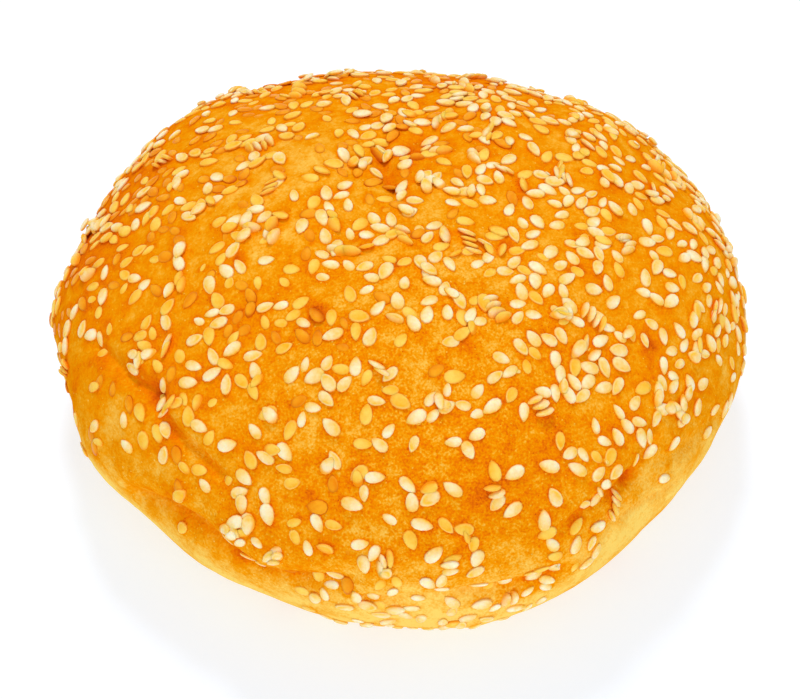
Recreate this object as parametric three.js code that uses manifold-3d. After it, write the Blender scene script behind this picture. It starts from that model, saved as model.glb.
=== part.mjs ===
// A sesame burger bun: one uncut baked roll with its seeds baked on.
// Millimetres, +Z up. The flat underside lies on Z = 0, +X is the longer way across and -Y is the front.
import * as THREE from 'three';
import { mergeVertices } from 'three/addons/utils/BufferGeometryUtils.js';
import Module from 'manifold-3d';

const { clamp, degToRad, smoothstep } = THREE.MathUtils;

const wasm = await Module();
wasm.setup();

// Driving dimensions of the roll
const MEAN_RADIUS = 54.7;
const HEIGHT = 49.2;
const WAIST_HEIGHT = 18.5;
const FOOT_SHARE = 0.78; // radius of the flat underside, as a share of the radius at the waist
const ROUNDNESS = 0.96; // power on the crown's quarter circle: below 1 is fuller, above 1 more pointed

// The outline seen from above: how far it strays from a circle, as a share of the radius
const OUTLINE_WAVES = [
  { perTurn: 2, share: 0.0365, crest: -4.7 },
  { perTurn: 3, share: 0.025, crest: 30 },
  { perTurn: 4, share: 0.0087, crest: 19 },
  { perTurn: 5, share: 0.0046, crest: -18 },
];

// Slow unevenness of the dough: each wave's length, height and the bearing that it runs along
const DOUGH_WAVES = [
  { length: 47, height: 0.42, bearing: 35 },
  { length: 33, height: 0.3, bearing: 112 },
  { length: 23, height: 0.2, bearing: 161 },
];
const WAVE_LEAN = 0.6; // how much each wave also runs up the side
const SETTLED_HEIGHT = 6; // relief fades out below this height, so that the underside stays flat

// How finely the roll is divided: the divisions are closer together at the front and round the waist,
// where most creases are
const SEGMENTS = 78;
const SIDE_RINGS = 10;
const CROWN_RINGS = 22;
const FINER_AT_FRONT = 0.35;
const FINER_AT_WAIST = 0.4;

// Distance of the outline from the axis at a bearing in radians, counted from +X towards +Y
function outlineRadius(bearing) {
  let share = 1;
  for (const { perTurn, share: height, crest } of OUTLINE_WAVES) {
    share += height * Math.cos(perTurn * (bearing - degToRad(crest)));
  }
  return MEAN_RADIUS * share;
}

// The section of the roll. Rise is -1 at the foot, 0 at the waist and 1 at the middle of the crown.
function section(rise) {
  const angle = Math.abs(rise) * Math.PI / 2;
  if (rise < 0) {
    return new THREE.Vector2(
      FOOT_SHARE + (1 - FOOT_SHARE) * Math.cos(angle),
      WAIST_HEIGHT * (1 - Math.sin(angle)),
    );
  }
  return new THREE.Vector2(
    Math.cos(angle) ** ROUNDNESS,
    WAIST_HEIGHT + (HEIGHT - WAIST_HEIGHT) * Math.sin(angle) ** ROUNDNESS,
  );
}

// A place on the plain roll by its bearing in degrees and its rise
function onSide(bearing, rise) {
  const turn = degToRad(bearing);
  const { x: share, y: height } = section(rise);
  const radius = share * outlineRadius(turn);
  return new THREE.Vector3(radius * Math.cos(turn), radius * Math.sin(turn), height);
}

// A place on the plain roll's crown by its distances right and back from the axis
function onCrown(x, y) {
  const share = Math.hypot(x, y) / outlineRadius(Math.atan2(y, x));
  const angle = Math.acos(share ** (1 / ROUNDNESS));
  return onSide(THREE.MathUtils.radToDeg(Math.atan2(y, x)), angle / (Math.PI / 2));
}

// Creases in the crust. The line runs smoothly through its places. Depth is how far the crust is drawn
// in along it and width how wide. Lip is how far the crust above it swells out, and hang how far that
// lip sinks over the line. Reach is how far up and down the swelling goes.
const CREASES = [
  { // the deep one at the lower left, under an overhanging lip
    places: [
      onSide(218, 0), onSide(224, 0.04), onSide(231, 0.08), onSide(238, 0.07),
      onSide(244, 0.045), onSide(250, 0.025), onSide(257, 0.06), onSide(264, 0.1),
    ],
    depth: 3.6, width: 2.4, lip: 1.6, hang: 2.5, reach: 6,
  },
  { // the fold between the crown and the smaller bulge at the left
    places: [
      onSide(196, 0.27), onSide(204, 0.31), onSide(211, 0.33), onSide(216, 0.345), onSide(221, 0.335),
    ],
    depth: 1.3, width: 1.8, lip: 0.7, hang: 0.5, reach: 5,
  },
  { // its tail towards the front
    places: [
      onSide(217, 0.35), onSide(222, 0.32), onSide(226, 0.3), onSide(233, 0.28), onSide(240, 0.24),
    ],
    depth: 1.3, width: 1.7, lip: 0.7, hang: 0.5, reach: 4,
  },
  { // a short oval dent at the front
    places: [onSide(263, 0.01), onSide(267, 0), onSide(271, 0.01)],
    depth: 1.3, width: 1.8, lip: 0.3, hang: 0.3, reach: 3,
  },
  { // from the front round to the right
    places: [onSide(273, 0.02), onSide(283, 0.02), onSide(290, 0.02), onSide(298, 0.04)],
    depth: 1.3, width: 1.7, lip: 0.5, hang: 0.5, reach: 4,
  },
  { // the fold down the right side, from the seeded crown to a small pit
    places: [onSide(323, 0.28), onSide(317, 0.23), onSide(314, 0.205), onSide(310, 0.17)],
    depth: 1.3, width: 1.7, lip: 0.5, hang: 0.3, reach: 4,
  },
  { // the tuck that runs from that pit towards the front
    places: [onSide(314, 0.2), onSide(307, 0.2), onSide(301, 0.2), onSide(295, 0.16)],
    depth: 1.1, width: 1.7, lip: 0.5, hang: 0.4, reach: 4,
  },
  { // the main line of the navel in the crown
    places: [onCrown(-2.4, 15), onCrown(-2.9, 11.2), onCrown(-1.9, 5), onCrown(-0.4, -0.5)],
    depth: 1.8, width: 1.6, lip: 0, hang: 0, reach: 4,
  },
  { // its branch to the left
    places: [onCrown(-2.6, 9), onCrown(-5.5, 8.6), onCrown(-9.5, 8.4)],
    depth: 0.9, width: 1.6, lip: 0, hang: 0, reach: 4,
  },
  { // its branch to the right and back
    places: [onCrown(-2.4, 10), onCrown(3.2, 13), onCrown(8, 17)],
    depth: 1.1, width: 1.6, lip: 0, hang: 0, reach: 4,
  },
];

// Broad swellings, and hollows of negative height
const SWELLINGS = [
  { place: onCrown(-1, 9), radius: 10, height: -1.1 }, // the dimple round the navel
  { place: onCrown(-14, 9.5), radius: 5, height: 1 }, // the bare bulge at its left
  { place: onSide(218, 0.35), radius: 2.4, height: -0.8 }, // the pit in the left fold
  { place: onSide(311.5, 0.19), radius: 2.4, height: -0.9 }, // the pit in the right fold
  { place: onSide(206, 0.14), radius: 9, height: 0.9 }, // the smaller bulge at the left
  { place: onSide(212, -0.1), radius: 11, height: 0.8 }, // the full lower side under it
  { place: onSide(181, 0.02), radius: 5, height: 0.5 },
  { place: onSide(197, -0.02), radius: 6, height: -0.3 },
  { place: onSide(172, 0.15), radius: 8, height: -0.6 },
  { place: onSide(150, 0.2), radius: 15, height: 0.1 }, // the shoulder behind on the left
  { place: onSide(229, -0.25), radius: 8, height: 0.6 }, // the roll of crust under the lip
  { place: onSide(236, -0.25), radius: 12, height: 0.2 },
  { place: onSide(253, -0.32), radius: 8, height: -0.6 },
  { place: onSide(280, -0.3), radius: 8, height: 0.8 },
  { place: onSide(296, -0.35), radius: 14, height: 1.3 }, // the full lower side at the front right
  { place: onSide(312, 0), radius: 8, height: -0.9 }, // the flat where the roll met its neighbour
  { place: onSide(321, 0.17), radius: 4, height: 0.5 },
  { place: onSide(327, 0.02), radius: 8, height: 0.6 }, // the ridge beside that flat
  { place: onSide(345, 0.05), radius: 16, height: 0.8 }, // the full right side
  { place: onSide(8, 0.12), radius: 8, height: -0.4 },
  { place: onSide(35, 0.2), radius: 14, height: 0.5 },
  { place: onSide(62, 0.1), radius: 13, height: -0.8 }, // the flat that met the neighbour behind
];

const CREASE_POINTS = 40;
for (const crease of CREASES) {
  crease.line = new THREE.CatmullRomCurve3(crease.places).getSpacedPoints(CREASE_POINTS);
}

// A bell that is 1 at distance 0 and falls off over the given width
function bell(distance, width) {
  return Math.exp(-((distance / width) ** 2));
}

// The nearest point of a crease's line, and how strong the crease is there: it dies out at both ends
function nearestOnLine(line, point) {
  let best = Infinity;
  let nearest = null;
  let along = 0;
  const segment = new THREE.Line3();
  for (let i = 1; i < line.length; i += 1) {
    segment.set(line[i - 1], line[i]);
    const share = segment.closestPointToPointParameter(point, true);
    const candidate = segment.at(share, new THREE.Vector3());
    const distance = candidate.distanceTo(point);
    if (distance < best) {
      best = distance;
      nearest = candidate;
      along = (i - 1 + share) / (line.length - 1);
    }
  }
  return { nearest, distance: best, strength: 1 - Math.abs(2 * along - 1) ** 3 };
}

// Moves a place on the plain roll to where the uneven, creased crust is
function reshape(point, normal) {
  const uphill = new THREE.Vector3(0, 0, 1).addScaledVector(normal, -normal.z).normalize();
  let outward = 0;
  let downhill = 0;
  DOUGH_WAVES.forEach(({ length, height, bearing }, index) => {
    const turn = degToRad(bearing);
    const way = point.x * Math.cos(turn) + point.y * Math.sin(turn) + WAVE_LEAN * point.z;
    outward += height * Math.sin(2 * Math.PI * way / length + index);
  });
  for (const { place, radius, height } of SWELLINGS) {
    outward += height * bell(point.distanceTo(place), radius);
  }
  for (const { line, depth, width, lip, hang, reach } of CREASES) {
    const { nearest, distance, strength } = nearestOnLine(line, point);
    const above = point.clone().sub(nearest).dot(uphill);
    outward -= strength * depth * bell(distance, width);
    outward += strength * lip * bell(distance, reach) * smoothstep(above, 0, reach / 2);
    downhill += strength * hang * bell(distance, reach / 2) * smoothstep(above, -width / 2, width / 2);
  }
  const settled = smoothstep(point.z, 0, SETTLED_HEIGHT);
  return point.clone()
    .addScaledVector(normal, settled * outward)
    .addScaledVector(uphill, -settled * downhill);
}

// The way out of the plain roll at a bearing in radians and a rise
function outwardAt(bearing, rise) {
  const step = 0.001;
  const low = section(Math.max(rise - step, -1));
  const high = section(Math.min(rise + step, 1));
  const inward = (low.x - high.x) * outlineRadius(bearing);
  const climb = high.y - low.y;
  return new THREE.Vector3(climb * Math.cos(bearing), climb * Math.sin(bearing), inward).normalize();
}

// The rise of a ring, from its share of the way from the waist to the crown, or to the foot if negative
function ringRise(share) {
  return share * (1 - FINER_AT_WAIST * (1 - Math.abs(share)));
}

// The bare roll: its section spun round the axis, drawn to the outline, and creased
function rollGeometry() {
  const profile = [new THREE.Vector2(0, 0)];
  for (let i = 0; i < SIDE_RINGS; i += 1) {
    profile.push(section(ringRise(i / SIDE_RINGS - 1)));
  }
  for (let i = 0; i < CROWN_RINGS; i += 1) {
    profile.push(section(ringRise(i / CROWN_RINGS)));
  }
  profile.push(new THREE.Vector2(0, HEIGHT));
  let geometry = new THREE.LatheGeometry(profile, SEGMENTS);
  geometry.rotateX(Math.PI / 2);
  geometry.deleteAttribute('normal');
  geometry.deleteAttribute('uv');
  geometry = mergeVertices(geometry, 1e-4);
  const position = geometry.attributes.position;
  const point = new THREE.Vector3();
  for (let i = 0; i < position.count; i += 1) {
    point.fromBufferAttribute(position, i);
    const turn = Math.atan2(point.y, point.x);
    const bearing = turn - FINER_AT_FRONT * Math.cos(turn);
    const radius = Math.hypot(point.x, point.y) * outlineRadius(bearing);
    position.setXYZ(i, radius * Math.cos(bearing), radius * Math.sin(bearing), point.z);
  }
  geometry.computeVertexNormals();
  const normal = new THREE.Vector3();
  for (let i = 0; i < position.count; i += 1) {
    point.fromBufferAttribute(position, i);
    normal.fromBufferAttribute(geometry.attributes.normal, i);
    const moved = reshape(point, normal);
    position.setXYZ(i, moved.x, moved.y, moved.z);
  }
  geometry.deleteAttribute('normal');
  return geometry;
}

// Sizes of a sesame seed: a flat drop with one pointed end, partly sunk in the crust
const SEED_LENGTH = 3.3;
const SEED_WIDTH = 1.95;
const SEED_THICKNESS = 1.1;
const SEED_TAPER = 0.36;
const SEED_SUNK = 0.4;
const SEED_SIZES = { least: 0.82, most: 1.12 };
const SEED_TILT = 5; // degrees either way

// How the seeds are strewn
const SEED_SITES = 2150;
const SEED_START = 5;
const SEED_GAP = 8.3; // the seeds that are built lie at least so far apart
const SEED_STRAY = 2.2; // millimetres either way from the even lattice
const SEEDS_END = -0.16; // rise where the last seeds lie
const SEEDS_FULL = 0.1; // rise above which they lie thickly
const GOLDEN_TURN = Math.PI * (3 - Math.sqrt(5));

// Where the seeds lie thinly, and where they reach lower down than elsewhere
const THIN_PATCHES = [
  { place: onSide(216, -0.05), radius: 13, missing: 0.95 }, // the side under the left bulge
  { place: onSide(236, -0.06), radius: 9, missing: 1 }, // under the lip
  { place: onSide(248, -0.12), radius: 9, missing: 0.95 },
  { place: onSide(198, 0.12), radius: 8, missing: 0.5 },
  { place: onSide(316, -0.02), radius: 12, missing: 1 }, // the pale flat at the right
  { place: onSide(312, 0.17), radius: 4.5, missing: 0.9 }, // the pit above it
  { place: onSide(332, -0.05), radius: 12, missing: 0.95 },
  { place: onSide(287, 0.38), radius: 19, missing: 0.5 }, // the front, where the seeds lie thinly
  { place: onSide(252, 0.38), radius: 16, missing: 0.35 },
  { place: onSide(215, 0.2), radius: 15, missing: 0.45 },
  { place: onCrown(-14, 9.5), radius: 4.5, missing: 0.8 }, // the bare bulge beside the navel
];
const LOW_SEEDS = { place: onSide(276, -0.16), radius: 16, present: 0.8 };

// Repeatable random numbers between 0 and 1
function makeRandom(start) {
  const modulus = 2 ** 32;
  let state = start;
  return () => {
    state = (state * 1664525 + 1013904223) % modulus;
    return state / modulus;
  };
}

// How thickly the seeds lie at a place, from 0 for none to 1
function seedCover(place, rise) {
  let cover = smoothstep(rise, SEEDS_END, SEEDS_FULL);
  cover = Math.max(cover, LOW_SEEDS.present * bell(place.distanceTo(LOW_SEEDS.place), LOW_SEEDS.radius));
  for (const { place: middle, radius, missing } of THIN_PATCHES) {
    cover *= 1 - missing * bell(place.distanceTo(middle), radius);
  }
  return cover;
}

// The rise above which the given share of the crust's area lies, found by adding up thin slices
function makeAreaToRise(lowest) {
  const slices = 200;
  const rises = [1];
  const areas = [0];
  for (let i = 1; i <= slices; i += 1) {
    const rise = 1 - (1 - lowest) * i / slices;
    const a = section(rises[i - 1]);
    const b = section(rise);
    const slant = Math.hypot((b.x - a.x) * MEAN_RADIUS, b.y - a.y);
    rises.push(rise);
    areas.push(areas[i - 1] + slant * (a.x + b.x) / 2);
  }
  return (share) => {
    const wanted = clamp(share, 0, 1) * areas[slices];
    const i = Math.max(areas.findIndex((area) => area >= wanted), 1);
    const part = (wanted - areas[i - 1]) / (areas[i] - areas[i - 1]);
    return rises[i - 1] + part * (rises[i] - rises[i - 1]);
  };
}

// Places, sizes and turns of all the seeds, on a golden-angle lattice that each one strays from
function strewSeeds() {
  const random = makeRandom(SEED_START);
  const lowest = -0.5;
  const riseAt = makeAreaToRise(lowest);
  const seeds = [];
  for (let i = 0; i < SEED_SITES; i += 1) {
    const evenRise = riseAt((i + 0.5) / SEED_SITES);
    const away = Math.max(section(evenRise).x * MEAN_RADIUS, SEED_STRAY);
    const bearing = i * GOLDEN_TURN + (random() - 0.5) * 2 * SEED_STRAY / away;
    const rise = clamp(evenRise + (random() - 0.5) * 2 * SEED_STRAY / HEIGHT, lowest, 0.999);
    const kept = random();
    const size = SEED_SIZES.least + (SEED_SIZES.most - SEED_SIZES.least) * random();
    const turn = random() * 2 * Math.PI;
    const tilt = degToRad(SEED_TILT) * (2 * random() - 1);
    const plain = onSide(THREE.MathUtils.radToDeg(bearing), rise);
    if (kept < seedCover(plain, rise)) {
      const normal = outwardAt(bearing, rise);
      seeds.push({ place: reshape(plain, normal), normal, size, turn, tilt });
    }
  }
  return seeds;
}

// The seeds that are built: the largest come first, and each keeps its distance from those before it
function largestSeeds(seeds) {
  const chosen = [];
  const largestFirst = [...seeds].sort((a, b) => b.size - a.size);
  for (const seed of largestFirst) {
    if (chosen.every(({ place }) => place.distanceTo(seed.place) >= SEED_GAP)) {
      chosen.push(seed);
    }
  }
  return chosen;
}

// One seed's drop shape: a low ball, narrowed towards one end, laid on the crust
function seedGeometry({ place, normal, size, turn, tilt }) {
  let geometry = new THREE.SphereGeometry(1, 6, 3);
  geometry.deleteAttribute('normal');
  geometry.deleteAttribute('uv');
  geometry = mergeVertices(geometry, 1e-4);
  geometry.rotateX(Math.PI / 2);
  const rim = Math.sin(Math.PI / 3); // how far out the ball's widest ring reaches
  const position = geometry.attributes.position;
  for (let i = 0; i < position.count; i += 1) {
    const x = position.getX(i) / rim;
    const y = position.getY(i) / rim * (1 - SEED_TAPER * x);
    position.setXYZ(i, x * SEED_LENGTH / 2, y * SEED_WIDTH / 2, position.getZ(i) * SEED_THICKNESS / 2);
  }
  const laid = new THREE.Quaternion().setFromUnitVectors(new THREE.Vector3(0, 0, 1), normal);
  laid.multiply(new THREE.Quaternion().setFromEuler(new THREE.Euler(0, tilt, turn, 'ZYX')));
  const middle = place.clone().addScaledVector(normal, SEED_THICKNESS / 2 - SEED_SUNK);
  geometry.applyMatrix4(new THREE.Matrix4().compose(middle, laid, new THREE.Vector3(size, size, size)));
  return geometry;
}

// A closed geometry as a solid that can be joined with others
function toSolid(geometry) {
  return new wasm.Manifold(new wasm.Mesh({
    numProp: 3,
    vertProperties: geometry.attributes.position.array,
    triVerts: new Uint32Array(geometry.index.array),
  }));
}

// A solid as a geometry again
function toGeometry(solid) {
  const mesh = solid.getMesh();
  const geometry = new THREE.BufferGeometry();
  geometry.setAttribute('position', new THREE.BufferAttribute(new Float32Array(mesh.vertProperties), 3));
  geometry.setIndex(new THREE.BufferAttribute(new Uint32Array(mesh.triVerts), 1));
  return geometry;
}

// The bun: the roll with its largest seeds joined to it, without any loose scrap
function bunGeometry() {
  let solid = toSolid(rollGeometry());
  for (const seed of largestSeeds(strewSeeds())) {
    solid = solid.add(toSolid(seedGeometry(seed)));
  }
  const pieces = solid.decompose();
  pieces.sort((a, b) => b.volume() - a.volume());
  return toGeometry(pieces[0]);
}

const crust = new THREE.MeshStandardMaterial({ color: 0xe8951c, roughness: 0.55, metalness: 0 });
const bun = new THREE.Mesh(bunGeometry(), crust);
bun.name = 'bun';

// The origin is under the middle of the bun's own box
bun.geometry.computeBoundingBox();
const box = bun.geometry.boundingBox;
bun.geometry.translate(-(box.min.x + box.max.x) / 2, -(box.min.y + box.max.y) / 2, -box.min.z);

const group = new THREE.Group();
group.add(bun);

export default group;
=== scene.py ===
"""A sesame burger bun: a creased, golden roll with its seeds baked on.

The roll's form is worked out in millimetres in its own frame, with +X to the right, -Y to the front and
+Z up. Each finished piece is then put, in metres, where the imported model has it: its underside on Z = 0.
"""

from __future__ import annotations

import logging
import math
import random
from collections.abc import Callable, Mapping, Sequence
from dataclasses import dataclass, field
from enum import Enum
from itertools import product

import bmesh
import bpy
from mathutils import Matrix, Vector, noise
from mathutils.bvhtree import BVHTree
from mathutils.geometry import intersect_point_line
from mathutils.kdtree import KDTree

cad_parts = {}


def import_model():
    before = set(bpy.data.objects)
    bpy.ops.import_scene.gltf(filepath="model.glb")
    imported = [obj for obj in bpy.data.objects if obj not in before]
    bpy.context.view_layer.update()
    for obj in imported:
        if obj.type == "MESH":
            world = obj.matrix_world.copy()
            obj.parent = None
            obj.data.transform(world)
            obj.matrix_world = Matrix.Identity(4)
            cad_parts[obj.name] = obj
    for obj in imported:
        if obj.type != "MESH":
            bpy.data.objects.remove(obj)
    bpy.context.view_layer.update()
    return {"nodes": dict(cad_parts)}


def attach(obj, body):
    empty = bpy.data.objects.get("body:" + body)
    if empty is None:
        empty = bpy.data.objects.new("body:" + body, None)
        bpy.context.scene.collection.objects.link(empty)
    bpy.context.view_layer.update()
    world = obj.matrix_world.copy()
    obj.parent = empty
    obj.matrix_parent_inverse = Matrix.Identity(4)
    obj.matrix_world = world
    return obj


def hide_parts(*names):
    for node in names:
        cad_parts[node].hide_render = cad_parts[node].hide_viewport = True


log = logging.getLogger("bun")

MM = 0.001
UP = Vector((0.0, 0.0, 1.0))
WHITE = (1.0, 1.0, 1.0, 1.0)
FOOT_LEVEL = 1e-5
DICE_START = 11
ANY_TURN = (0.0, 6.3)
NEARLY_UP = 0.99
LOW_MOTTLE_OFFSET = Vector((3.0, 7.0, 0.0))
Tone = tuple[float, float, float, float]
Range = tuple[float, float]


def bell(distance: float, width: float) -> float:
    """Gives a bell curve: 1 at no distance, falling off over the width."""
    return math.exp(-((distance / width) ** 2))


def smoothstep(value: float, low: float, high: float) -> float:
    """Gives a smooth step from 0 at low to 1 at high."""
    share = min(max((value - low) / (high - low), 0.0), 1.0)
    return share * share * (3.0 - 2.0 * share)


def any_way(dice: random.Random, reach: float) -> Vector:
    """Draws a short way in any direction."""
    return Vector([dice.uniform(-reach, reach) for _ in range(3)])


def smooth_line(places: Sequence[Vector], steps: int = 12) -> list[Vector]:
    """Draws a smooth line through a few places.

    Args:
        places: The places that the line passes through, at least two.
        steps: How many points each stretch between two places gets.

    Returns:
        The points of the line, with both ends.
    """
    padded = [2 * places[0] - places[1], *places, 2 * places[-1] - places[-2]]
    points = []
    for before, start, end, after in zip(padded, padded[1:], padded[2:], padded[3:]):
        bend = 2 * before - 5 * start + 4 * end - after
        twist = 3 * start - before - 3 * end + after
        for step in range(steps):
            t = step / steps
            points.append(0.5 * (2 * start + (end - before) * t + bend * t**2 + twist * t**3))
    points.append(places[-1].copy())
    return points


def sorted_places(places: Sequence[Vector]) -> KDTree:
    """Sorts places for quick searching.

    Args:
        places: The places, which are found by their index.

    Returns:
        The tree that finds them.
    """
    tree = KDTree(len(places))
    for index, place in enumerate(places):
        tree.insert(place, index)
    tree.balance()
    return tree


def box_middle(places: Sequence[Vector], unit: float = 1.0) -> Vector:
    """Finds the middle of the box round some places, seen from above.

    Args:
        places: The places.
        unit: The unit that the middle is wanted in.

    Returns:
        The middle, at height 0.
    """
    xs = [place.x / unit for place in places]
    ys = [place.y / unit for place in places]
    return Vector(((min(xs) + max(xs)) / 2, (min(ys) + max(ys)) / 2, 0.0))


def link_shape(shape: bmesh.types.BMesh, name: str) -> bpy.types.Object:
    """Turns a shape into an object of the scene, shaded smooth.

    Args:
        shape: The shape, which is used up.
        name: The name of the object and its mesh.

    Returns:
        The object.
    """
    for face in shape.faces:
        face.smooth = True
    mesh = bpy.data.meshes.new(name)
    shape.to_mesh(mesh)
    shape.free()
    made = bpy.data.objects.new(name, mesh)
    bpy.context.scene.collection.objects.link(made)
    return made


def colour(red: int, green: int, blue: int) -> Tone:
    """Turns a screen colour into the light values that a shader works with, by the usual screen curve.

    Args:
        red: Red from 0 to 255.
        green: Green from 0 to 255.
        blue: Blue from 0 to 255.

    Returns:
        Red, green, blue and full opacity.
    """
    light = []
    for part in (red, green, blue):
        share = part / 255.0
        light.append(share / 12.92 if share <= 0.04045 else ((share + 0.055) / 1.055) ** 2.4)
    return (*light, 1.0)


@dataclass(frozen=True)
class OutlineWave:
    """How the outline strays from a circle: waves per turn, share of the radius, bearing of a crest."""

    per_turn: int
    share: float
    crest: float


@dataclass(frozen=True)
class DoughWave:
    """A slow wave of the dough: its length, its height and the bearing that it runs along."""

    length: float
    height: float
    bearing: float


@dataclass(frozen=True)
class Spot:
    """A round part of the crust that differs from the rest by an amount, most of all in its middle.

    The amount says how far it swells, how much more it is baked (in the two pits, partly painted shade),
    or the share of its seeds that is missing or present. A negative amount is a hollow or a paler part.
    """

    place: Vector
    radius: float
    amount: float

    def at(self, point: Vector) -> float:
        """Gives how much of the amount is felt at a point."""
        return self.amount * bell((point - self.place).length, self.radius)


@dataclass
class Crease:
    """A crease in the crust, which follows a smooth line through its places.

    Depth is how far the crust is drawn in along the line, and width how wide. Lip is how far the crust
    above it swells out, hang how far that lip sinks over the line, and reach how far up and down the
    swelling goes. Shade is how much darker the crust is coloured in a band just under the line: a painted
    shadow under the lip, partly deeper baking. Past far times its reach, nothing of it is felt.
    """

    places: Sequence[Vector]
    depth: float
    width: float
    lip: float = 0.0
    hang: float = 0.0
    reach: float = 4.0
    shade: float = 0.0
    far: float = 2.5
    fade_power: int = 3
    line: list[Vector] = field(init=False)
    tree: KDTree = field(init=False)

    def __post_init__(self) -> None:
        """Draws the line and sorts its points for quick searching."""
        self.line = smooth_line(self.places)
        self.tree = sorted_places(self.line)

    def nearest(self, point: Vector) -> tuple[Vector, float, float] | None:
        """Finds the nearest point of the line.

        Args:
            point: A place on the plain roll.

        Returns:
            The nearest point, its distance and the crease's strength there, or None far away.
        """
        _, index, distance = self.tree.find(point)
        if distance > self.far * self.reach:
            return None
        best = (self.line[index], distance, float(index))
        for first in (index - 1, index):
            if 0 <= first < len(self.line) - 1:
                foot, share = intersect_point_line(point, self.line[first], self.line[first + 1])
                if 0.0 <= share <= 1.0 and (foot - point).length < best[1]:
                    best = (foot, (foot - point).length, first + share)
        along = best[2] / (len(self.line) - 1)
        return best[0], best[1], 1.0 - abs(2.0 * along - 1.0) ** self.fade_power


@dataclass
class Roll:
    """The form of the bare roll, in millimetres."""

    mean_radius: float = 54.7
    height: float = 49.2
    waist_height: float = 18.5
    foot_share: float = 0.78
    roundness: float = 0.96
    settled_height: float = 6.0
    # The painted shadow under a crease fades out between these two distances below its line.
    shade_from: float = 2.0
    shade_to: float = 7.0
    wave_lean: float = 0.6
    unevenness: float = 0.5
    uneven_size: float = 4.0
    # Creases at least this deep get the full painted shade along their line.
    full_shade_depth: float = 2.4
    swelling_reach: float = 3.0
    outline_waves: tuple[OutlineWave, ...] = (
        OutlineWave(2, 0.0365, -4.7),
        OutlineWave(3, 0.025, 30.0),
        OutlineWave(4, 0.0087, 19.0),
        OutlineWave(5, 0.0046, -18.0),
    )
    dough_waves: tuple[DoughWave, ...] = (
        DoughWave(47.0, 0.42, 35.0),
        DoughWave(33.0, 0.3, 112.0),
        DoughWave(23.0, 0.2, 161.0),
    )
    creases: list[Crease] = field(init=False)
    swellings: list[Spot] = field(init=False)

    def __post_init__(self) -> None:
        """Lays the creases and swellings on the plain roll."""
        line, crown = self.side_line, self.on_crown
        lip_line = line((218, 0.0), (224, 0.04), (231, 0.08), (238, 0.07), (244, 0.045))
        lip_line += line((250, 0.025), (257, 0.06), (264, 0.1))
        left_fold = line((196, 0.27), (204, 0.31), (211, 0.33), (216, 0.345), (221, 0.335))
        fold_tail = line((217, 0.35), (222, 0.32), (226, 0.3), (233, 0.28), (240, 0.24))
        front_dent = line((263, 0.01), (267, 0.0), (271, 0.01))
        front_right = line((273, 0.02), (283, 0.02), (290, 0.02), (298, 0.04))
        right_fold = line((323, 0.28), (317, 0.23), (314, 0.205), (310, 0.17))
        right_tuck = line((314, 0.2), (307, 0.2), (301, 0.2), (295, 0.16))
        right_drop = line((312, 0.19), (309, 0.12), (306, 0.05), (303, -0.02))
        right_step = line((306, 0.04), (310, 0.06), (314, 0.04), (321, 0.01), (328, 0.03))
        right_dip = line((316, 0.18), (322, 0.14), (326, 0.115), (331, 0.1), (338, 0.07))
        navel = [crown(-2.4, 15), crown(-2.9, 11.2), crown(-1.9, 5), crown(-0.4, -0.5)]
        navel_left = [crown(-2.6, 9), crown(-5.5, 8.6), crown(-9.5, 8.4)]
        navel_right = [crown(-2.4, 10), crown(3.2, 13), crown(8, 17)]
        # A shade paints a shadow in the band under that crease's line.
        self.creases = [
            Crease(lip_line, depth=3.9, width=2.3, lip=1.7, hang=2.9, reach=6.0, shade=0.95),
            Crease(left_fold, depth=1.2, width=1.4, lip=0.3, hang=0.25, reach=5.0, shade=0.4),
            Crease(fold_tail, depth=1.2, width=1.1, lip=0.3, hang=0.22, reach=3.5),
            Crease(front_dent, depth=0.9, width=1.8, lip=0.3, hang=0.3, reach=3.0),
            Crease(front_right, depth=1.4, width=1.6, lip=0.35, hang=0.4, reach=4.0, shade=0.4),
            Crease(right_fold, depth=1.1, width=1.3, lip=0.5, hang=0.3, reach=4.0),
            Crease(right_tuck, depth=1.0, width=1.2, lip=0.5, hang=0.4, reach=4.0),
            Crease(right_drop, depth=0.7, width=1.3),
            Crease(right_dip, depth=0.75, width=1.5),
            Crease(right_step, depth=0.65, width=1.1, lip=0.4, hang=0.3, reach=3.0),
            Crease(navel, depth=1.7, width=1.2),
            Crease(navel_left, depth=0.8, width=1.1),
            Crease(navel_right, depth=1.0, width=1.4),
        ]
        # Each swelling's bearing and rise, then its radius and its height, which a hollow has below 0.
        self.swellings = self.side_spots(
            (218, 0.35, 1.8, -1.1), (311.5, 0.19, 1.7, -1.3), (321, 0.17, 4.0, 0.5),
            (206, 0.14, 9.0, 0.9), (236, -0.25, 12.0, 0.2), (312, 0.0, 8.0, -0.9),
            (327, 0.02, 8.0, 0.6), (62, 0.1, 13.0, -0.8), (296, -0.35, 14.0, 1.3),
            (212, -0.1, 11.0, 0.8), (150, 0.2, 15.0, 0.1), (181, 0.02, 5.0, 0.5),
            (280, -0.3, 8.0, 0.8), (345, 0.05, 16.0, 0.8), (35, 0.2, 14.0, 0.5),
            (229, -0.25, 8.0, 0.6), (253, -0.32, 8.0, -0.6), (8, 0.12, 8.0, -0.4),
            (172, 0.15, 8.0, -0.6), (197, -0.02, 6.0, -0.3), (339, -0.09, 2.4, -0.7),
            (328, -0.2, 2.4, -0.5), (318, -0.3, 2.6, -0.4),
        )
        self.swellings += [Spot(crown(-1, 9), 10.0, -1.1), Spot(crown(-14, 9.5), 5.0, 1.0)]

    def side_line(self, *points: tuple[float, float]) -> list[Vector]:
        """Finds places on the plain roll from their bearings in degrees and their rises."""
        return [self.on_side(bearing, rise) for bearing, rise in points]

    def side_spots(self, *rows: tuple[float, float, float, float]) -> list[Spot]:
        """Makes spots from their bearings in degrees, their rises, radii and amounts."""
        return [Spot(self.on_side(turn, rise), radius, amount) for turn, rise, radius, amount in rows]

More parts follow.
